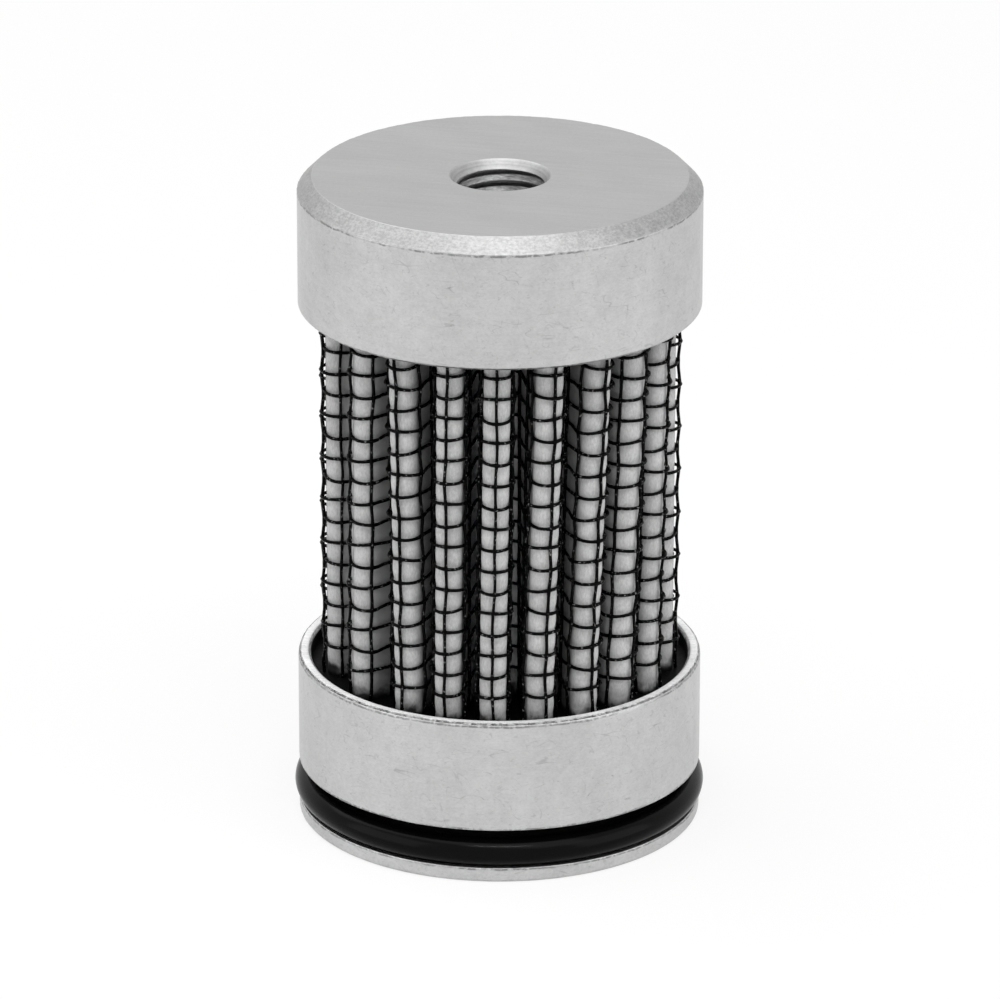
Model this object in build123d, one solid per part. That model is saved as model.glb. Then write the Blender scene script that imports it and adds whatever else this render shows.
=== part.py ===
"""A hydraulic filter element: a pleated pack held between two turned aluminium end caps.

Oil passes from the outside through the woven wire mesh, the pleated media and the drainage layer into
the perforated core tube, and leaves through the bore of the bottom cap. An O-ring round the bottom cap
seals it in its housing, and the tapped hole on top is for drawing it out.

Millimetres, +Z up, origin in the middle of the foot.
"""

from build123d import *
from math import acos, atan2, cos, degrees, hypot, pi, radians, sin
import os

# overall
element_height = 83.0

# bottom end cap
cup_diameter = 50.0
cup_height = 21.0
cup_wall = 1.6
flange_thickness = 1.9
groove_width = 5.0
outlet_bore = 15.0
outlet_lead_in = 1.0
mouth_lead_in = 0.4  # inside the rim
rim_break = 0.3

# top end cap
lid_diameter = 49.5
lid_height = 16.4
lid_wall = 1.5
lid_bevel = 1.8
tapped_hole_bore = 10.38  # the bore of an M12 x 1.5 thread
countersink_diameter = 12.5
tapped_hole_depth = 11.0
hole_floor = 2.5  # metal left under the tapped hole

# both end caps: the channel that takes the ends of the pleats
channel_depth = 8.0
adhesive_thickness = 6.0
spigot_height = 5.0
spigot_clearance = 0.1  # all round, between a spigot and the core tube

# O-ring, a standard size
o_ring_bore = 44.04
o_ring_section = 3.53
o_ring_clearance = 0.02  # all round, between the ring and the floor of its groove

# core tube
core_diameter = 20.5
core_wall = 1.0
core_end_clearance = 0.1
core_hole = 5.0
core_holes_round = 8
core_hole_rows = 5

# pleats
pleat_count = 20
pleat_pack_diameter = 44.8  # over the mesh
first_pleat_angle = -1.0  # degrees, from the front
media_thickness = 0.7
crest_radius = 1.65  # of the outer face of the media, where it turns at a crest
drainage_thickness = 0.25
nip_clearance = 0.07  # between the two sides of a pleat where they come nearest
root_clearance = 0.2  # between the roots of the pleats and the core tube

# woven wire mesh over the pleats
wire_size = 0.42
wire_clearance = 0.02
warp_spacing = 3.3
weft_spacing = 2.767

# worked out from the sizes above
cup_radius = cup_diameter / 2
lid_radius = lid_diameter / 2
core_radius = core_diameter / 2
spigot_radius = core_radius - core_wall - spigot_clearance
channel_floor = cup_height - channel_depth
lid_bottom = element_height - lid_height
channel_ceiling = lid_bottom + channel_depth
pack_bottom = channel_floor + adhesive_thickness
pack_top = channel_ceiling - adhesive_thickness
pack_height = pack_top - pack_bottom
pleat_angle = 2 * pi / pleat_count
weft_count = int((lid_bottom - cup_height) / weft_spacing)  # as many as the opening between the caps shows

# A pleat turns about a centre at its crest, and the valley beside it about a centre half a pleat further
# round. The root centre lies where the drainage layer clears the core tube and the pleat's own two sides
# clear each other.
weft_inner = crest_radius + wire_size + wire_clearance
weft_outer = weft_inner + wire_size
crest_centre = pleat_pack_diameter / 2 - weft_outer
half_pleat = sin(pleat_angle / 2)
root_centre = (core_radius + root_clearance - nip_clearance) / (1 - half_pleat)
root_radius = root_centre * half_pleat - media_thickness - drainage_thickness - nip_clearance


def turned(points):
    """A turned piece from its half section, given as (radius, height) points."""
    return revolve(Plane.XZ * make_face(Polyline(*points, close=True)), Axis.Z)


def bottom_end_cap():
    groove_floor = o_ring_bore / 2 - o_ring_clearance
    groove_top = flange_thickness + groove_width
    inner_wall = cup_radius - cup_wall
    bore = outlet_bore / 2
    return turned(
        [
            (bore + outlet_lead_in, 0),
            (cup_radius - rim_break, 0),
            (cup_radius, rim_break),
            (cup_radius, flange_thickness),
            (groove_floor, flange_thickness),
            (groove_floor, groove_top),
            (cup_radius, groove_top),
            (cup_radius, cup_height - rim_break),
            (cup_radius - rim_break, cup_height),
            (inner_wall + mouth_lead_in, cup_height),
            (inner_wall, cup_height - mouth_lead_in),
            (inner_wall, channel_floor),
            (spigot_radius, channel_floor),
            (spigot_radius, channel_floor + spigot_height),
            (bore, channel_floor + spigot_height),
            (bore, outlet_lead_in),
        ]
    )


def top_end_cap():
    inner_wall = lid_radius - lid_wall
    boss_end = element_height - tapped_hole_depth - hole_floor
    hole = tapped_hole_bore / 2
    mouth = countersink_diameter / 2
    return turned(
        [
            (mouth, element_height),
            (lid_radius - lid_bevel, element_height),
            (lid_radius, element_height - lid_bevel),
            (lid_radius, lid_bottom + rim_break),
            (lid_radius - rim_break, lid_bottom),
            (inner_wall, lid_bottom),
            (inner_wall, channel_ceiling),
            (spigot_radius, channel_ceiling),
            (spigot_radius, boss_end),
            (0, boss_end),
            (0, boss_end + hole_floor),
            (hole, boss_end + hole_floor),
            (hole, element_height - (mouth - hole)),
        ]
    )


def o_ring():
    ring = Torus((o_ring_bore + o_ring_section) / 2, o_ring_section / 2)
    return Pos(0, 0, flange_thickness + o_ring_section / 2) * ring


def core_tube():
    """A steel tube with rows of round holes, every second row turned by half a hole."""
    length = channel_ceiling - channel_floor - core_end_clearance
    upright = (Align.CENTER, Align.CENTER, Align.MIN)
    tube = Cylinder(core_radius, length, align=upright)
    tube -= Cylinder(core_radius - core_wall, length, align=upright)
    drill = Cylinder(core_hole / 2, core_diameter, rotation=(0, 90, 0), align=upright)
    row_spacing = pack_height / core_hole_rows
    hole_angle = 360 / core_holes_round
    holes = []
    for row in range(core_hole_rows):
        height = adhesive_thickness + (row + 0.5) * row_spacing
        for hole in range(core_holes_round):
            angle = (hole + row % 2 / 2) * hole_angle
            holes.append(Pos(0, 0, height) * Rot(0, 0, angle) * drill)
    return Pos(0, 0, channel_floor) * (tube - holes)


def adhesive_bed(bottom, outer_radius):
    """The ring of set adhesive between the core tube and the wall of a channel."""
    return turned(
        [
            (core_radius, bottom),
            (outer_radius, bottom),
            (outer_radius, bottom + adhesive_thickness),
            (core_radius, bottom + adhesive_thickness),
        ]
    )


def around(radius, angle):
    """A point in plan, at an angle in radians from the front, seen from above to the right."""
    return Vector(radius * sin(angle), -radius * cos(angle))


def leg_direction():
    """The angle, from a pleat's own centre line, that the outward side of its leg faces."""
    across = root_centre * half_pleat
    along = root_centre * cos(pleat_angle / 2) - crest_centre
    return atan2(across, along) - acos((crest_radius + root_radius) / hypot(across, along))


def pleat_edges(offset):
    """The edges of one pleat and the valley after it, offset outwards from the media's outer face."""
    facing = leg_direction()
    crest, root = around(crest_centre, 0), around(root_centre, pleat_angle / 2)
    crest_turn, root_turn = crest_radius + offset, root_radius - offset
    next_leg = pleat_angle - facing
    start = crest + around(crest_turn, -facing)
    end = crest + around(crest_turn, facing)
    valley_start = root - around(root_turn, facing)
    valley_end = root - around(root_turn, next_leg)
    after = around(crest_centre, pleat_angle) + around(crest_turn, next_leg)
    return [
        ThreePointArc(start, crest + around(crest_turn, 0), end),
        Line(end, valley_start),
        ThreePointArc(valley_start, root - around(root_turn, pleat_angle / 2), valley_end),
        Line(valley_end, after),
    ]


def pleated_sheet(outer_offset, thickness):
    """A sheet folded into pleats all the way round, standing on the lower adhesive."""
    outlines = []
    for offset in (outer_offset, outer_offset - thickness):
        edges = [
            Rot(0, 0, first_pleat_angle + degrees(pleat_angle) * n) * edge
            for n in range(pleat_count)
            for edge in pleat_edges(offset)
        ]
        outlines.append(make_face(Wire(edges)))
    return Pos(0, 0, pack_bottom) * extrude(outlines[0] - outlines[1], pack_height)


def warp_places():
    """Where the upright wires of one pleat stand: (middle of the wire in plan, direction it faces)."""
    facing = leg_direction()
    turn = crest_radius + wire_size / 2
    crest = around(crest_centre, 0)
    leg_start = crest + around(turn, facing)
    leg_end = around(root_centre, pleat_angle / 2) - around(root_radius - wire_size / 2, facing)
    leg = leg_end - leg_start
    reach = turn * facing + leg.length
    places = [(crest + around(turn, 0), 0)]
    for n in range(1, int(reach / warp_spacing) + 1):
        along = n * warp_spacing
        if along < turn * facing:
            place, direction = crest + around(turn, along / turn), along / turn
        else:
            place, direction = leg_start + leg.normalized() * (along - turn * facing), facing
        places.append((place, direction))
        places.append((Vector(-place.X, place.Y), -direction))
    return places


def warp_wires():
    """The upright wires, each drawn with four flats and lying on the media."""
    one_pleat = []
    for place, direction in warp_places():
        section = Rot(0, 0, degrees(direction)) * Rectangle(wire_size, wire_size)
        one_pleat.append(Pos(place.X, place.Y, pack_bottom) * extrude(section, pack_height))
    turns = [Rot(0, 0, first_pleat_angle + degrees(pleat_angle) * n) for n in range(pleat_count)]
    return Compound(children=[turn * wire for turn in turns for wire in one_pleat])


def weft_outline(distance):
    """The corners of a weft loop in plan, its flats held a distance from every crest's centre."""
    corner = distance / cos(pi / 8)
    points = []
    for n in range(pleat_count):
        turn = pleat_angle * n + radians(first_pleat_angle)
        for eighths in (-3, -1, 1, 3):
            points.append(around(crest_centre, turn) + around(corner, turn + eighths * pi / 8))
        points.append(around(distance / half_pleat, turn + pleat_angle / 2))
    return points


def weft_loop():
    """One level wire that follows all the pleats, drawn with three flats, its back towards the media."""
    inner, outer = weft_outline(weft_inner), weft_outline(weft_outer)
    up = Vector(0, 0, wire_size / 2)
    faces = []
    for n in range(len(inner)):
        a, b = inner[n - 1], inner[n]
        c, d = outer[n - 1], outer[n]
        back = (a - up, b - up, b + up, a + up)
        for corners in (back, (a + up, b + up, d, c), (c, d, b - up, a - up)):
            faces.append(Face(Wire.make_polygon(corners)))
    return Solid(Shell(faces))


def pieces():
    """Every piece of the element by name."""
    made = {
        "bottom_end_cap": bottom_end_cap(),
        "top_end_cap": top_end_cap(),
        "o_ring": o_ring(),
        "core_tube": core_tube(),
        "lower_adhesive": adhesive_bed(channel_floor, cup_radius - cup_wall),
        "upper_adhesive": adhesive_bed(pack_top, lid_radius - lid_wall),
        "filter_media": pleated_sheet(0, media_thickness),
        "drainage_layer": pleated_sheet(-media_thickness, drainage_thickness),
        "warp_wires": warp_wires(),
    }
    loop = weft_loop()
    middle = (cup_height + lid_bottom) / 2
    for n in range(weft_count):
        height = middle + (n - (weft_count - 1) / 2) * weft_spacing
        made[f"weft_wire_{n + 1:02d}"] = Pos(0, 0, height) * loop
    return made


os.makedirs("parts", exist_ok=True)
for name, piece in pieces().items():
    export_step(piece, f"parts/{name}.step")
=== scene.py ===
import bpy
import bmesh
import numpy as np
from math import radians
from mathutils import Matrix, Vector


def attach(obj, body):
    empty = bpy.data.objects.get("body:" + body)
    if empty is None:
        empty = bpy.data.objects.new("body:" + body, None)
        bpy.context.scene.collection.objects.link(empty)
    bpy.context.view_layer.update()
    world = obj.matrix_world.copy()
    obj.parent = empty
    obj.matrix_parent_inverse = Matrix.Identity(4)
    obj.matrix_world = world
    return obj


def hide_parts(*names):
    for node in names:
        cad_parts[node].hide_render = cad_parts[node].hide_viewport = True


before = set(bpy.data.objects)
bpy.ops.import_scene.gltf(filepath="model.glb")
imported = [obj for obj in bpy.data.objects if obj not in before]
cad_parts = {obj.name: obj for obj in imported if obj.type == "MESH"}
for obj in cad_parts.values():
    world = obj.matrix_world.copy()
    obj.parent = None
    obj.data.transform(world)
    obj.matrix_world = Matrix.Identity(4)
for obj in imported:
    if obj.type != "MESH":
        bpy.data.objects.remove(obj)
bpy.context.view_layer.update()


# The core tube: a perforated steel tube in the middle, rolled and zinc plated, which the pleats lean on.
# It shows only down the outlet and through gaps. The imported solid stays, with a plated finish.

class Level:
    """A number that changes over a surface. Sums written with it add the Math nodes that work them out."""

    def __init__(self, finish, socket):
        self.finish = finish
        self.socket = socket

    def combine(self, operation, *others):
        made = self.finish.node("ShaderNodeMath", {"operation": operation}, dict(enumerate(others)))
        return Level(self.finish, made.outputs[0])

    def __add__(self, other):
        return self.combine("ADD", self, other)

    def __radd__(self, other):
        return self.combine("ADD", other, self)

    def __sub__(self, other):
        return self.combine("SUBTRACT", self, other)

    def __rsub__(self, other):
        return self.combine("SUBTRACT", other, self)

    def __mul__(self, other):
        return self.combine("MULTIPLY", self, other)

    def __rmul__(self, other):
        return self.combine("MULTIPLY", other, self)

    def __pow__(self, other):
        return self.combine("POWER", self, other)

    def __abs__(self):
        return self.combine("ABSOLUTE", self)

    def band(self, low, high):
        """Nothing below low, all above high, and a smooth rise between."""
        made = self.finish.node(
            "ShaderNodeMapRange", {"interpolation_type": "SMOOTHSTEP"}, {0: self, 1: low, 2: high, 3: 0.0, 4: 1.0}
        )
        return Level(self.finish, made.outputs[0])


class Finish:
    """One material, built from its nodes."""

    def __init__(self, name):
        self.material = bpy.data.materials.new(name)
        self.material.use_nodes = True
        self.tree = self.material.node_tree
        self.tree.nodes.clear()
        self.place = self.node("ShaderNodeTexCoord").outputs["Object"]

    def node(self, kind, settings=None, sockets=None):
        """Any node: first its settings, then the values or links of its sockets."""
        made = self.tree.nodes.new(kind)
        for name, value in (settings or {}).items():
            setattr(made, name, value)
        for name, value in (sockets or {}).items():
            value = value.socket if isinstance(value, Level) else value
            if isinstance(value, bpy.types.NodeSocket):
                self.tree.links.new(value, made.inputs[name])
            else:
                made.inputs[name].default_value = value
        return made

    def axes(self):
        """The place on the piece in millimetres, as three levels."""
        split = self.node("ShaderNodeSeparateXYZ", sockets={0: self.place})
        return [Level(self, socket) * 1000 for socket in split.outputs]

    def grain(self, across, detail=2.0, turn=(0, 0, 0), roughness=0.5):
        """Noise whose marks are as long and as wide, in millimetres, as the three numbers in across."""
        scale = [1000 / size for size in across]
        place = self.node("ShaderNodeMapping", {"vector_type": "POINT"}, {0: self.place, "Rotation": turn})
        place = self.node("ShaderNodeMapping", {"vector_type": "POINT"}, {0: place.outputs[0], "Scale": scale})
        sockets = {"Vector": place.outputs[0], "Scale": 1.0, "Detail": detail, "Roughness": roughness}
        return Level(self, self.node("ShaderNodeTexNoise", sockets=sockets).outputs[0])

    def hairs(self, across, width, turn=(0, 0, 0)):
        """Thin curved lines where a wide noise crosses its middle, cut short where another noise is low."""
        line = 1 - abs(self.grain(across, 1, turn) - 0.5).band(0.0, width)
        return line * self.grain([0.7 * size for size in across], 1, (1, *turn[1:])).band(0.56, 0.62)

    def tint(self, amount, first, second):
        """A colour that goes from the first to the second with amount. A grey is one number."""
        first, second = [(c, c, c, 1) if isinstance(c, float) else c for c in (first, second)]
        made = self.node("ShaderNodeMix", {"data_type": "RGBA"}, {0: amount, 6: first, 7: second})
        return made.outputs[2]

    def dent(self, height, depth):
        """A normal from a height level, where one unit of height is depth in millimetres."""
        made = self.node("ShaderNodeBump", sockets={"Strength": 1.0, "Distance": depth / 1000, "Height": height})
        return made.outputs["Normal"]

    def surface(self, **sockets):
        """The surface shader, its sockets named with capitals and spaces as lower case and underscores."""
        names = {name.replace("_", " ").title().replace("Ior", "IOR"): value for name, value in sockets.items()}
        shader = self.node("ShaderNodeBsdfPrincipled", sockets=names)
        self.node("ShaderNodeOutputMaterial", sockets={"Surface": shader.outputs[0]})
        return self.material


def zinc_plate():
    plate = Finish("zinc_plate")
    cloud = plate.grain((3, 3, 3), 3)
    fine = plate.grain((0.2, 0.2, 1.2), 2)
    return plate.surface(
        base_color=plate.tint(cloud, 0.38, 0.52),
        metallic=1.0,
        roughness=cloud * 0.2 + 0.28,
        normal=plate.dent(fine, 0.01),
    )


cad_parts["core_tube"].data.materials.clear()
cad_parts["core_tube"].data.materials.append(zinc_plate())


# The adhesive beds: a poured two-part resin that sets in the channel of each cap and holds the ends of the
# pleats, the mesh and the core tube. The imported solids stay, with a dark, faintly rippled finish.

def set_resin():
    resin = Finish("set_resin")
    ripple = resin.grain((2.2, 2.2, 2.2), 3)
    return resin.surface(
        base_color=resin.tint(ripple, 0.002, 0.006),
        roughness=ripple * 0.25 + 0.35,
        specular_ior_level=0.05,
        normal=resin.dent(ripple, 0.12),
    )


resin_finish = set_resin()
for bed in ("lower_adhesive", "upper_adhesive"):
    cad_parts[bed].data.materials.clear()
    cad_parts[bed].data.materials.append(resin_finish)


# The filter media: one sheet of white glass fibre fleece, folded into twenty upright pleats and closed into
# a ring. Each pleat leans and sits a little unevenly, and the fleece swells softly between the wires.

pleats = 20
pleat_pitch = 2 * np.pi / pleats
first_pleat = radians(-1)
pack_low, pack_high = 19.0, 68.6
crest_reach = 21.54  # from the axis to the fleece at a crest
crest_turns = np.array(
    [1.58, 1.67, 1.67, 2.0, 1.67, 1.67, 1.6, 1.7, 1.65, 1.7, 1.6, 1.65, 1.7, 1.6, 1.65, 1.6, 1.67, 1.67, 1.67, 1.54]
)
root_reach, root_turn = 12.305, 0.905
fleece = 0.7
# how far each pleat stands to the right of its even place at middle height, and how far its foot leans
shifts = np.radians(
    [-0.3, -0.7, -0.8, -1.5, -2.7, -1, -1.5, 0.8, 1.6, -0.7, 0.9, -1.2, 0.6, -1, -3, -5, -7.6, 0.4, 1.9, 1.4]
)
leans = np.radians(
    [-1.45, -3.2, -5.2, -6.3, -6.5, -4, -2, 1.2, 2.1, -1.4, 0.6, 2.4, -1.8, 0.9, 1.3, 0.6, 0, -1.6, 2.3, -0.8]
)
lean_low, lean_middle, lean_span = 24.0, 52.3, 42.0
mesh_middle = 0.43  # from the fleece to the middle of the woven mesh
warp_pitch = 3.3
weft_pitch, weft_rows, lowest_weft = 2.767, 16, 23.0475
# how far along the mesh each pleat's middle upright wire stands from the middle of its crest
warp_slips = np.array(
    [0.04, 0.27, 0.0, 0.2, -0.13, 0.05, -0.3, 0.2, 0.3, -0.3, 0.1, 0.3, -0.2, -0.1, 0.2, 0.1, -0.16, -0.57, 0.31, 0.18]
)


def around(reach, angle):
    """A point in plan at a distance from the axis, its angle counted to the right from the front."""
    return np.stack(np.broadcast_arrays(reach * np.sin(angle), -reach * np.cos(angle)), -1)


def pleat_angle(pleat, height):
    """Where a crest stands at a height: its even place, its shift, and its lean in step with the height."""
    fall = (lean_middle - np.clip(height, lean_low, pack_high)) / lean_span
    return first_pleat + pleat * pleat_pitch + shifts[pleat] + leans[pleat] * fall


def pleat_form(pleat, side, height):
    """The angle that a leg faces and the lengths of crest arc, leg and root arc, in the middle of the mesh."""
    to_valley = pleat_pitch / 2 - side * (pleat_angle(pleat, height) - first_pleat - pleat * pleat_pitch)
    turn = crest_turns[pleat]
    centre = crest_reach - turn
    across = root_reach * np.sin(to_valley)
    along = root_reach * np.cos(to_valley) - centre
    between = np.hypot(across, along)
    facing = np.arctan2(across, along) - np.arccos((turn + root_turn) / between)
    leg = np.sqrt(between**2 - (turn + root_turn) ** 2)
    arc = (turn + mesh_middle) * facing
    root = (root_turn - mesh_middle) * (facing - to_valley)
    return facing, arc, leg, root


def folded(pleat, side, along, height, offset):
    """Points in plan on the folded sheet.

    A point lies `along` from the middle of its crest, first round the crest, then down a straight leg, then
    round the root. It is moved out from the fleece by offset, square to the sheet.
    """
    facing, arc, leg, root = pleat_form(pleat, side, height)
    turn = crest_turns[pleat]
    angle = np.where(along < arc, along / (turn + mesh_middle), facing)
    down = np.clip(along - arc, 0, leg)
    past = np.clip(along - arc - leg, 0, root)
    crest = around(crest_reach - turn, 0.0)
    on_leg = crest + around(turn + offset, angle) - down[..., None] * around(1.0, angle - np.pi / 2)
    angle = facing - past / (root_turn - mesh_middle)
    centre = crest + around(turn + root_turn, facing) - leg[..., None] * around(1.0, facing - np.pi / 2)
    on_root = centre - around(root_turn - offset, angle)
    point = np.where((along > arc + leg)[..., None], on_root, on_leg)
    x, y = point[..., 0] * side, point[..., 1]
    lie = pleat_angle(pleat, height)
    return x * np.cos(lie) - y * np.sin(lie), x * np.sin(lie) + y * np.cos(lie)


def shell(name, points, quads, finish, node_names, slot):
    """A piece from its points in millimetres and its faces, turned to face outwards, riding on the element."""
    a, b, c, d = (points[quads[:, n]] for n in range(4))
    if np.sum(np.cross(a, b) * c) + np.sum(np.cross(a, c) * d) < 0:
        quads = quads[:, ::-1]
    mesh = bpy.data.meshes.new(name)
    mesh.vertices.add(len(points))
    mesh.vertices.foreach_set("co", (points / 1000).astype(np.float32).ravel())
    mesh.loops.add(quads.size)
    mesh.loops.foreach_set("vertex_index", quads.astype(np.int32).ravel())
    mesh.polygons.add(len(quads))
    mesh.polygons.foreach_set("loop_start", np.arange(0, quads.size, 4, dtype=np.int32))
    mesh.update(calc_edges=True)
    merged = bmesh.new()
    merged.from_mesh(mesh)
    bmesh.ops.remove_doubles(merged, verts=merged.verts, dist=1e-7)
    merged.to_mesh(mesh)
    merged.free()
    mesh.shade_smooth()
    mesh.materials.append(finish)
    piece = bpy.data.objects.new(name, mesh)
    bpy.context.scene.collection.objects.link(piece)
    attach(piece, "root")
    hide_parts(*node_names)
    return piece


def closed_grid(rows, columns):
    """The faces of a grid whose last row meets its first and whose last column meets its first."""
    row, column = np.meshgrid(np.arange(rows), np.arange(columns), indexing="ij")
    row_on, column_on = (row + 1) % rows, (column + 1) % columns
    corners = (row * columns + column, row * columns + column_on, row_on * columns + column_on, row_on * columns + column)
    return np.stack(corners, -1).reshape(-1, 4)


def sheet_columns():
    """The pleat, the side and the share of crest, leg and root run through, for each column of the sheet."""
    crest, leg, root = np.linspace(0, 1, 9)[:-1], np.linspace(0, 1, 8)[:-1], np.linspace(0, 1, 4)
    shares = np.concatenate([
        np.stack([crest, 0 * crest, 0 * crest], -1),
        np.stack([0 * leg + 1, leg, 0 * leg], -1),
        np.stack([0 * root + 1, 0 * root + 1, root], -1),
    ])
    shares = np.concatenate([shares[:0:-1], shares[:-1]])
    side = np.concatenate([-np.ones(len(shares) // 2), np.ones(len(shares) - len(shares) // 2)])
    pleat = np.repeat(np.arange(pleats), len(shares))
    return pleat, np.tile(side, pleats), np.tile(shares, (pleats, 1))


def pleated_sheet(outside, thickness, swell):
    """A folded sheet: up its outer face row by row, and down its inner face. Between the wires the outer face
    swells by the product of two squared sines, one along the sheet and one up it."""
    steps = np.arange(-14, 5 * weft_rows + 14) * weft_pitch / 5 + lowest_weft
    outer = np.concatenate([[pack_low], steps[(steps > pack_low + 0.2) & (steps < pack_high - 0.2)], [pack_high]])
    inner = np.array([pack_high, 52.0, 38.0, lean_low, pack_low])
    height = np.concatenate([outer, inner])[:, None]
    offset = np.concatenate([0 * outer + outside, 0 * inner + outside - thickness])[:, None]
    pleat, side, shares = sheet_columns()
    facing, arc, leg, root = pleat_form(pleat, side, height)
    along = arc * shares[:, 0] + leg * shares[:, 1] + root * shares[:, 2]
    between_warps = np.sin(np.pi * (side * along - warp_slips[pleat]) / warp_pitch) ** 2
    between_wefts = np.sin(np.pi * (height - lowest_weft) / weft_pitch) ** 2
    rise = swell * (between_warps * between_wefts) ** 0.4 * (1 - shares[:, 1]) * (offset > outside - thickness / 2)
    x, y = folded(pleat, side, along, height, offset + rise)
    points = np.stack(np.broadcast_arrays(x, y, height), -1)
    return points.reshape(-1, 3), closed_grid(*points.shape[:2])


def white_fleece():
    """White mottled fibres: painted shade down the legs, painted light deep in the valleys, near black at the foot."""
    white = Finish("white_fleece")
    fibres = white.grain((0.2, 0.2, 0.5), 4, roughness=0.7)
    cloud = white.grain((4, 4, 6), 2)
    mottle = (fibres * 0.7 + cloud * 0.3).band(0.3, 0.7)
    x, y, height = white.axes()
    # Darker towards the foot: the fleece goes near black below an uneven line close to its lower end.
    dark_foot = 1 - (height - white.grain((2.2, 2.2, 2.2), 3) * 4.0).band(17.4, 18.9)
    reach = (x * x + y * y) ** 0.5
    # Painted shade darkens the legs inwards of the crests, and painted light lightens the roots deep in the valleys.
    valley_painted_light, flank_painted_shade = 1 - reach.band(14.5, 17.0), 1 - reach.band(18.8, 20.9)
    mottle_with_flank_shade = white.tint(flank_painted_shade, white.tint(mottle, 0.4, 0.62), 0.3)
    return white.surface(
        base_color=white.tint(dark_foot, white.tint(valley_painted_light, mottle_with_flank_shade, 0.85), 0.02),
        roughness=0.9,
        specular_ior_level=0.2,
        normal=white.dent(fibres, 0.03),
    )


shell("pleated_fleece", *pleated_sheet(0.0, fleece, 0.16), white_fleece(), ["filter_media"], "media_fleece")


# The drainage layer: a thin open polyester fleece folded together with the media, on its inner side, which
# lets the clean oil run down to the core tube.

def backing_fleece():
    backing = Finish("backing_fleece")
    fibres = backing.grain((0.3, 0.3, 0.3), 4)
    return backing.surface(
        base_color=backing.tint(fibres, 0.45, 0.65), roughness=0.85, normal=backing.dent(fibres, 0.04)
    )


shell(
    "pleated_backing", *pleated_sheet(-fleece, 0.25, 0.0), backing_fleece(), ["drainage_layer"], "drainage_fleece"
)


# The warp wires: the upright wires of the mesh that holds the pleats apart, steel wire with a black epoxy
# coat. Each weaves over one level wire and under the next.

wire_turn = 0.2  # half the thickness of a wire
warp_sway, weft_sway = 0.1, 0.22  # how far each set weaves to each side of the middle of the mesh
warps_a_pleat = 7


def soft_noise(seed, place, wavelengths):
    """Sines of the given wavelengths added up, their starts drawn from a seed, between about -1 and 1."""
    starts = np.random.default_rng(seed).uniform(0, 2 * np.pi, len(wavelengths))
    return sum(np.sin(2 * np.pi * place / w + s) for w, s in zip(wavelengths, starts)) / len(wavelengths) ** 0.5


def mesh_place(pleat, side, along, height):
    """How far out the middle of the mesh lies, and how much of its weave shows, from 1 on a crest to a quarter
    down a leg, where the pleats press it against the fleece."""
    facing, arc, leg, root = pleat_form(pleat, side, height)
    pressed = np.clip((along - arc) / 2.5, 0, 1)
    return mesh_middle - 0.2 * pressed, 1 - 0.75 * pressed


def wire_skin(middle, first_axis, second_axis, knot, closed):
    """Six-sided skins round wires. Middle is (wires, points, 3). Each ring is the middle plus the two axes times
    the cosine and sine of six angles, a little larger where knot says that the coat gathers at a crossing. An
    open wire gets two faces on each end."""
    wires, points = middle.shape[:2]
    angle = np.arange(6) * np.pi / 3
    ring = np.cos(angle)[:, None] * first_axis[..., None, :] + np.sin(angle)[:, None] * second_axis[..., None, :]
    skin = middle[..., None, :] + (wire_turn * (1 + 0.22 * knot))[..., None, None] * ring
    quads = closed_grid(points, 6)
    if not closed:
        ends = np.array([[0, 1, 2, 3], [0, 3, 4, 5]])
        quads = np.concatenate([quads[: (points - 1) * 6], ends[:, ::-1], ends + (points - 1) * 6])
    starts = np.arange(wires) * points * 6
    return skin.reshape(-1, 3), (quads[None] + starts[:, None, None]).reshape(-1, 4)


def black_coat():
    coat = Finish("black_wire_coat")
    lumps = coat.grain((0.5, 0.5, 0.5), 2)
    glints = coat.grain((0.3, 0.3, 0.3), 1).band(0.64, 0.72)
    return coat.surface(
        base_color=coat.tint(glints, coat.tint(lumps, 0.0005, 0.002), 0.16),
        roughness=lumps * 0.2 + 0.08,
        specular_ior_level=0.035,
        normal=coat.dent(lumps, 0.05),
    )


def warp_wires():
    """Every upright wire follows its own place on the folded sheet. Its distance out from the fleece is the
    middle of the mesh plus a cosine with one swing for two rows, which starts the other way on its neighbour.
    The last two of each pleat have slid towards its roots."""
    number = np.arange(pleats * warps_a_pleat)
    pleat, place = number // warps_a_pleat, number % warps_a_pleat - warps_a_pleat // 2
    height = np.concatenate([[pack_low], np.arange(19.5, 68.2, weft_pitch / 6), [pack_high]])
    rows = (height - lowest_weft) / weft_pitch
    swing = np.cos(np.pi * rows) * np.where(number % 2, -1, 1)[:, None]
    wander = np.stack([soft_noise(n, height, (9, 19, 33)) for n in number])
    spot = place * warp_pitch + np.where(abs(place) == 3, np.sign(place) * 1.3, 0) + warp_slips[pleat]
    along = spot[:, None] + 0.1 * wander
    side = np.where(along < 0, -1, 1)
    lie, weave = mesh_place(pleat[:, None], side, abs(along), height)
    offset = lie + warp_sway * weave * swing
    columns = [np.broadcast_to(a, along.shape) for a in (pleat[:, None], side, abs(along), height, offset)]
    x, y = folded(*columns)
    inner_x, inner_y = folded(*columns[:4], columns[4] - 1)
    out = np.stack([x - inner_x, y - inner_y, 0 * x], -1)
    sideways = np.stack([-out[..., 1], out[..., 0], 0 * x], -1)
    middle = np.stack([x, y, np.broadcast_to(height, x.shape)], -1)
    knot = np.broadcast_to(np.cos(np.pi * rows) ** 8, x.shape)
    return wire_skin(middle, out, sideways, knot, False)


wire_finish = black_coat()
shell("warp_wires_woven", *warp_wires(), wire_finish, ["warp_wires"], "mesh_wire")


# The weft wires: the level wires of the same mesh, each one loop that follows all the pleats round and weaves
# over one upright wire and under the next.

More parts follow.
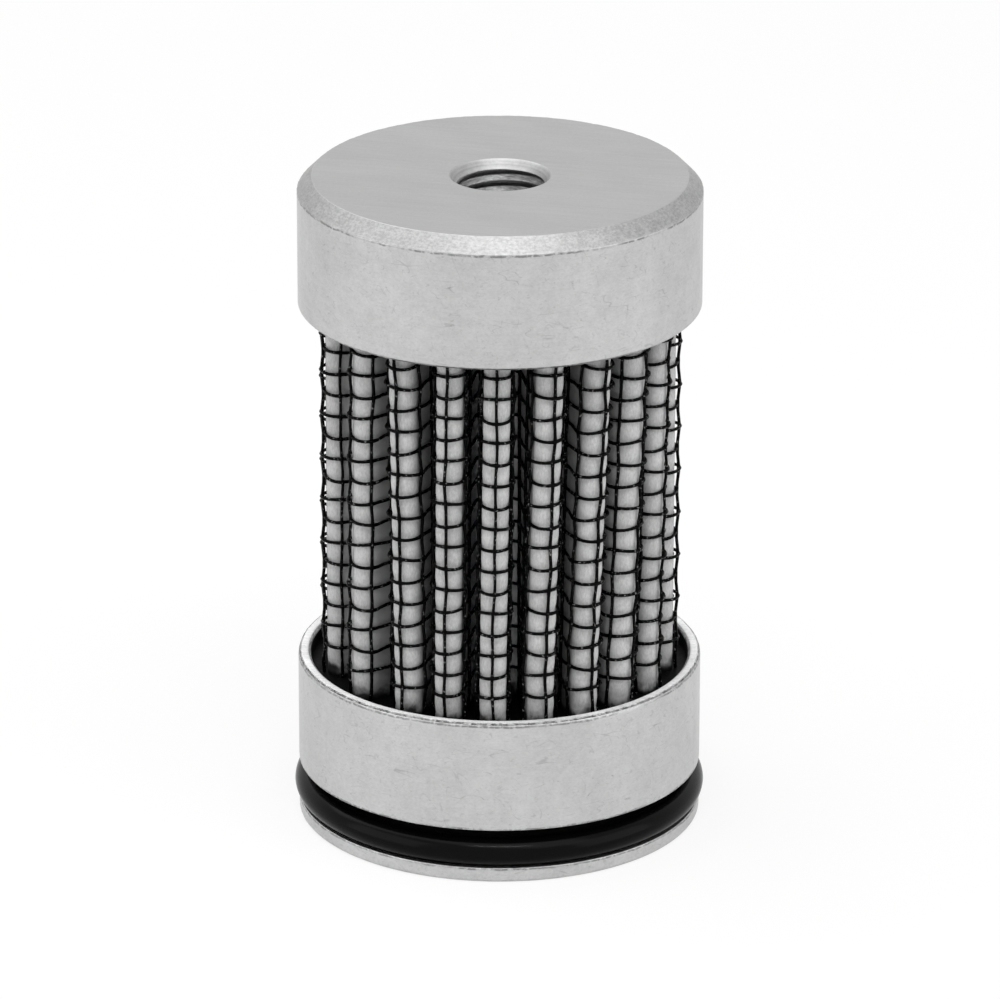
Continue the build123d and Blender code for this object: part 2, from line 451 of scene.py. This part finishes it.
def weft_wire(row):
    """One loop. Its distance out from the fleece is the middle of the mesh less the cosine of the same weave,
    which dies away towards each root, and its height wanders a little from pleat to pleat."""
    share = np.linspace(-1, 1, 43)[:-1]
    pleat = np.repeat(np.arange(pleats), len(share))
    share = np.tile(share, pleats)
    side = np.where(share < 0, -1, 1)
    height = lowest_weft + row * weft_pitch
    facing, arc, leg, root = pleat_form(pleat, side, height)
    whole = arc + leg + root
    along = abs(share) ** 1.25 * whole
    phase = (side * along - warp_slips[pleat]) / warp_pitch
    turn = np.where((pleat + row) % 2, -1, 1)
    lie, weave = mesh_place(pleat, side, along, height)
    fade = weave * np.clip((whole - along) / 2.5, 0, 1)
    offset = lie - weft_sway * turn * np.cos(np.pi * phase) * fade
    x, y = folded(pleat, side, along, height + 0 * along, offset)
    run = np.cumsum(np.hypot(x - np.roll(x, 1), y - np.roll(y, 1)))
    z = height + 0.1 * soft_noise(50 + row, run, (11.0, 7.3, 23.0))
    middle = np.stack([x, y, z], -1)
    ahead = np.roll(middle, -1, 0) - np.roll(middle, 1, 0)
    out = np.stack([ahead[:, 1], -ahead[:, 0], 0 * z], -1)
    out /= np.linalg.norm(out, axis=1)[:, None]
    up = np.broadcast_to([0.0, 0.0, 1.0], out.shape)
    return wire_skin(middle[None], out[None], up[None], np.cos(np.pi * phase)[None] ** 8 * fade, True)


for row in range(weft_rows):
    shell(f"weft_wire_woven_{row + 1:02d}", *weft_wire(row), wire_finish, [f"weft_wire_{row + 1:02d}"], "mesh_wire")


# The bottom end cap: a cup turned from aluminium bar, with the channel for the pleats above, a groove and a
# thin flange for the O-ring below, and the outlet through its middle. Its edges are broken and nicked.

def rounded(corners, closed=True):
    """A half section from corners given as (radius, height, rounding): each corner becomes a parabola between
    points that distance along its two sides, with one more point outside each to keep the flats flat. An open
    section keeps its two end points as they are."""
    corners = np.array(corners, float)
    spot, ease = corners[:, :2], corners[:, 2:3]
    before, after = np.roll(spot, 1, 0) - spot, np.roll(spot, -1, 0) - spot
    before /= np.linalg.norm(before, axis=1)[:, None]
    after /= np.linalg.norm(after, axis=1)[:, None]
    share = np.linspace(0, 1, 5)[None, :, None]
    start, end = (spot + before * ease)[:, None], (spot + after * ease)[:, None]
    arc = (1 - share) ** 2 * start + 2 * share * (1 - share) * spot[:, None] + share**2 * end
    lead_in = (spot + before * ease * 1.6)[:, None]
    lead_out = (spot + after * ease * 1.6)[:, None]
    eased = np.concatenate([lead_in, arc, lead_out], 1).reshape(-1, 2)
    return eased if closed else np.concatenate([spot[:1], eased[7:-7], spot[-1:]])


frame_height = 83.0


def turned(section, steps, wear):
    """A turned piece: the half section at each of many angles, its radius and height moved a little by wear,
    which takes nothing past the foot or the top of the element."""
    angle = np.arange(steps) * 2 * np.pi / steps
    radius = np.maximum(section[:, :1] + wear(section, angle)[0], 0)
    height = section[:, 1:] + wear(section, angle)[1]
    points = np.stack([radius * np.sin(angle), -radius * np.cos(angle), height + 0 * angle], -1)
    points[..., 2] = np.clip(points[..., 2], 0, frame_height)
    return points.reshape(-1, 3), closed_grid(len(section), steps)


def satin_aluminium(name, wall_tones, end_face, face_painted_tones, face_roughness, bevel, bevel_painted_tones, inside, edges):
    """Turned aluminium: pale satin walls with hair scratches, and other tones above the heights where the end face
    and the bevel start, set apart from the walls' to stand in for how light falls there: painted light and shade.
    A broken dark line at each height in edges is painted shade there with some wear. An inside, darkened as
    painted shade with stain, is given by its radius, the height that it ends at, its two dark tones, and 1 where it
    is bare metal or 0 where resin has stained it. The crests of a thread in it keep a painted highlight."""
    metal = Finish(name)
    x, y, z = metal.axes()
    reach = (x * x + y * y) ** 0.5
    face = z.band(end_face - 0.05, end_face)
    slope = z.band(bevel - 0.05, bevel + 0.05) * (1 - face)
    turning = metal.grain((20, 20, 0.13), 3)
    fine = metal.grain((0.4, 0.4, 0.25), 2, roughness=0.7)
    mottle = metal.grain((1.6, 1.6, 1.1), 5, roughness=0.7)
    smudge = metal.grain((7, 7, 9), 3)
    brushing = metal.grain((12, 0.22, 4), 4, turn=(0, 0, 0.22), roughness=0.6)
    fans = metal.grain((9, 5, 5), 2, turn=(0, 0, 0.5))
    rings = Level(metal, metal.node(
        "ShaderNodeTexNoise", {"noise_dimensions": "1D"}, {"W": reach, "Scale": 4.0, "Detail": 1.0}
    ).outputs[0])
    scratches = metal.hairs((6, 6, 1.6), 0.012) + metal.hairs((1.8, 1.8, 6), 0.014, (0, 0.5, 0.3)) * 0.7
    scratches = scratches + metal.hairs((1.6, 1.6, 0.5), 0.024, (0.3, 0.1, 0.7)) * 0.8
    pits = metal.grain((0.35, 0.35, 0.25), 2).band(0.62, 0.74)
    wall_tone = (mottle * 0.35 + fine * 0.3 + turning * 0.1 + smudge * 0.25).band(0.3, 0.7)
    face_tone = (brushing * 0.45 + fans * 0.25 + fine * 0.3).band(0.3, 0.7)
    ringed = (1 - reach.band(6.2, 6.4)) * 0.35 + 0.1  # turning lines show most in the countersink
    slope_tone = (mottle * 0.35 + rings * ringed + fine * (0.65 - ringed)).band(0.3, 0.7)
    tone = metal.tint(wall_tone, *wall_tones)
    # The bevel and the end face get tones of their own, set to how bright each shows: painted light and shade.
    tone = metal.tint(slope, tone, metal.tint(slope_tone, *bevel_painted_tones))
    tone = metal.tint((scratches * 0.34 + pits * 0.2) * (1 - slope * 0.7), tone, 0.2)
    tone = metal.tint(face, tone, metal.tint(face_tone, *face_painted_tones))
    waver = (metal.grain((1.5, 1.5, 1.5), 3) - 0.5) * 0.4
    broken = metal.grain((6, 6, 6), 2).band(0.3, 0.55) * metal.grain((0.5, 0.5, 0.5), 3).band(0.3, 0.55)
    # A broken dark line at each height in edges, close to an edge: painted shade with some wear, and a dent in the
    # relief.
    shade_and_wear_lines = 0.0
    for edge in edges:
        shade_and_wear_lines = shade_and_wear_lines + (1 - abs(z - edge + waver).band(0.05, 0.2)) * broken
    tone = metal.tint(shade_and_wear_lines * 0.75, tone, 0.13)
    radius, mouth, darkest, dark, bare = inside
    # The inside is darkened: painted shade in the hollow, together with resin stain in the cup and oil in the hole.
    shade_and_stain = (1 - reach.band(radius, radius + 0.1)) * (1 - z.band(mouth - 0.08, mouth))
    # The crests of the thread stay lighter than its roots: a painted highlight.
    thread_crest_highlight = 1 - reach.band(5.2, 5.28)
    shade_and_stain_tone = metal.tint(metal.grain((1.2, 1.2, 0.16), 3, roughness=0.7).band(0.3, 0.7), darkest, dark)
    tone = metal.tint(shade_and_stain, tone, metal.tint(thread_crest_highlight, shade_and_stain_tone, 0.32))
    relief = turning * 0.2 + fine * 0.3 + mottle * 0.5 - scratches * 0.5 - pits * 0.5 - shade_and_wear_lines * 2.0
    return metal.surface(
        base_color=tone,
        metallic=1 - shade_and_stain * (1 - bare),
        specular_ior_level=0.05,
        roughness=mottle * 0.1 + 0.36 + slope * 0.1 + face * face_roughness,
        normal=metal.dent(relief * (1 - face) + brushing * 0.2 * face, 0.008),
    )


def edge_wear(seed, amount):
    """Wear that moves the section in and out by noise in step with the angle, more on some turns than others."""
    def wear(section, angle):
        wave = soft_noise(seed, angle, 2 * np.pi / np.array([11, 23, 37, 58, 83, 109, 127]))
        place = soft_noise(seed + 1, section[:, :1] + section[:, 1:], (0.6, 1.3))
        return amount * wave * place, amount * wave * place * 0.6
    return wear


cup_section = rounded([
    (8.5, 0.0, 0.08), (24.7, 0.0, 0.12), (25.0, 0.3, 0.15), (25.0, 1.9, 0.15), (22.0, 1.9, 0.15),
    (22.0, 6.9, 0.15), (25.0, 6.9, 0.08), (25.0, 20.7, 0.28), (24.7, 21.0, 0.18), (23.8, 21.0, 0.2),
    (23.4, 20.6, 0.2), (23.4, 13.0, 0.15), (9.15, 13.0, 0.15), (9.15, 18.0, 0.1), (7.5, 18.0, 0.1),
    (7.5, 1.0, 0.1),
])
# The cup's end face, its rim, is given a far lighter tone than its walls: painted light.
cup_finish = satin_aluminium(
    "cup_aluminium", (0.46, 0.59), 20.97, (0.7, 1.0), 0.35, 20.6, (0.35, 0.62), (23.43, 20.65, 0.002, 0.01, 0),
    (1.72, 7.0, 20.55)
)
shell("bottom_cap_turned", *turned(cup_section, 320, edge_wear(7, 0.016)), cup_finish, ["bottom_end_cap"],
      "cap_aluminium")


# The O-ring: black nitrile rubber of a standard size, stretched into its groove, with the faint line that the
# mould leaves round its widest part.

def ring_surface():
    """A ring: a circle carried round the axis, with a fine ridge where its section is widest."""
    section, steps = np.arange(48) * 2 * np.pi / 48, 256
    radius = 23.785 + 1.745 * np.cos(section)
    height = 1.9 + 1.765 + 1.765 * np.sin(section)
    flash = 0.015 * np.exp(-(section / 0.05) ** 2)
    points = np.stack([radius + flash, height], -1)
    return turned(points, steps, lambda section, angle: (0 * angle, 0 * angle))


def black_rubber():
    rubber = Finish("black_rubber")
    bloom = rubber.grain((3, 3, 0.6), 3)
    fine = rubber.grain((0.3, 0.3, 0.12), 2)
    return rubber.surface(
        base_color=rubber.tint(bloom, 0.001, 0.002),
        roughness=bloom * 0.15 + 0.1,
        specular_ior_level=0.07,
        normal=rubber.dent(fine, 0.008),
    )


shell("o_ring_moulded", *ring_surface(), black_rubber(), ["o_ring"], "seal_rubber")


# The top end cap: the same bar turned to a lid with a bevelled edge. Its hole is countersunk and tapped with
# a fine thread, for the screw that draws the element out. Its end face is brushed.

thread_pitch, thread_depth = 1.5, 0.5


def lid_points():
    """The turned lid, with the wall of its hole moved out by a rounded sawtooth that winds with the angle."""
    hole_rows = np.arange(72.3, 81.85, 0.14)
    section = np.concatenate([
        [(0.0, 72.0), (4.9, 72.0), (5.19, 72.06)],
        np.stack([0 * hole_rows + 5.19, hole_rows], -1),
        rounded([
            (5.19, 81.9, 0.0), (5.2, 81.95, 0.02), (6.25, 83.0, 0.06), (22.95, 83.0, 0.1), (24.75, 81.2, 0.1),
            (24.75, 66.9, 0.1), (24.45, 66.6, 0.08), (23.25, 66.6, 0.12), (23.25, 74.6, 0.15), (9.15, 74.6, 0.15),
            (9.15, 69.5, 0.1), (0.0, 69.5, 0.0),
        ], closed=False),
    ])
    points, quads = turned(section, 320, edge_wear(21, 0.016))
    radius = np.hypot(points[:, 0], points[:, 1])
    in_hole = (radius > 5) & (radius < 5.25) & (points[:, 2] > 72.2)
    angle = np.arctan2(points[:, 0], -points[:, 1])
    wind = (points[:, 2] / thread_pitch + angle / (2 * np.pi) - 0.627) % 1
    cut = np.clip(abs(wind - 0.5) * 2.4 - 0.2, 0, 1) * thread_depth
    cut *= np.clip((points[:, 2] - 72.2) / 1.2, 0, 1)
    grow = np.where(in_hole, (radius + cut) / np.maximum(radius, 1e-6), 1)
    points[:, :2] *= grow[:, None]
    return points, quads


# The lid's end face and bevel are given darker tones than its walls: painted shade.
lid_finish = satin_aluminium(
    "lid_aluminium", (0.44, 0.57), 82.98, (0.38, 0.45), 0, 81.2, (0.27, 0.42), (6.15, 81.9, 0.1, 0.24, 1),
    (81.04, 66.75)
)
shell("top_cap_turned", *lid_points(), lid_finish, ["top_end_cap"], "cap_aluminium")


# The studio: a pale floor under an even white surround, one wide soft lamp overhead, which brightens the
# bevel, a narrow one in front for the gloss, and a softer one on each side. The floor keeps a faint shadow.

floor_height = -0.00005  # just under the foot
floor_mesh = bpy.data.meshes.new("studio_floor")
floor_mesh.from_pydata([(x, y, floor_height) for x, y in ((-4, -4), (4, -4), (4, 4), (-4, 4))], [], [(0, 1, 2, 3)])
floor = bpy.data.objects.new("studio_floor", floor_mesh)
bpy.context.scene.collection.objects.link(floor)
paper = Finish("floor_paper")
grey = paper.node("ShaderNodeBsdfDiffuse", sockets={"Color": paper.tint(paper.grain((40, 40, 40), 2), 0.93, 0.95)})
white = paper.node("ShaderNodeEmission", sockets={"Strength": 1.0})
ray = paper.node("ShaderNodeLightPath").outputs
seen = Level(paper, ray["Is Camera Ray"]) + Level(paper, ray["Is Glossy Ray"]) * 0.5
blend = paper.node("ShaderNodeMixShader", sockets={0: seen * 0.8, 1: grey.outputs[0], 2: white.outputs[0]})
paper.node("ShaderNodeOutputMaterial", sockets={"Surface": blend.outputs[0]})
floor_mesh.materials.append(paper.material)

world = bpy.data.worlds.new("white_surround")
bpy.context.scene.world = world
world.use_nodes = True
world.node_tree.nodes.clear()
surround = Finish.__new__(Finish)
surround.tree = world.node_tree
path = surround.node("ShaderNodeLightPath").outputs
seen = Level(surround, path["Is Camera Ray"]) + Level(surround, path["Is Glossy Ray"])
seen = (seen + Level(surround, path["Is Transmission Ray"])).band(0.0, 1.0)
light_level = 0.45
strength = seen * (1 - light_level) + light_level
glow = surround.node("ShaderNodeBackground", sockets={"Color": (1, 1, 1, 1), "Strength": strength})
surround.node("ShaderNodeOutputWorld", sockets={"Surface": glow.outputs[0]})


def soft_lamp(name, place, width, depth, power):
    """A wide area lamp that looks at the middle of the element."""
    lamp = bpy.data.lights.new(name, "AREA")
    lamp.shape = "RECTANGLE"
    lamp.size, lamp.size_y, lamp.energy = width, depth, power
    holder = bpy.data.objects.new(name, lamp)
    away = Vector(place) - Vector((0, 0, 0.045))
    holder.matrix_world = Matrix.Translation(place) @ away.to_track_quat("Z", "Y").to_matrix().to_4x4()
    holder.visible_camera = False
    bpy.context.scene.collection.objects.link(holder)


soft_lamp("overhead_lamp", (-0.1, -0.1, 0.97), 2.6, 0.8, 8.8)
soft_lamp("front_strip_lamp", (0.0, -0.53, 0.895), 0.4, 0.01, 1.5)
soft_lamp("left_lamp", (-0.85, -0.36, 0.3), 0.8, 0.9, 2.5)
soft_lamp("right_lamp", (0.85, -0.36, 0.3), 0.8, 0.9, 2.4)


# The camera: a long lens a little above the element, as in the photograph.

lens = bpy.data.cameras.new("camera")
lens.lens, lens.sensor_width = 273.7, 36.0
lens.shift_x, lens.shift_y = 0.00033, 0.0005
lens.clip_start, lens.clip_end = 0.05, 50.0
camera = bpy.data.objects.new("camera", lens)
stand, aim = Vector((0, -0.8767, 0.3786)), Vector((0, 0, 0.04058))
turn = (stand - aim).to_track_quat("Z", "Y").to_matrix().to_4x4() @ Matrix.Rotation(radians(0.097), 4, "Z")
camera.matrix_world = Matrix.Translation(stand) @ turn
bpy.context.scene.collection.objects.link(camera)
bpy.context.scene.camera = camera
bpy.context.scene.view_settings.view_transform = "Standard"
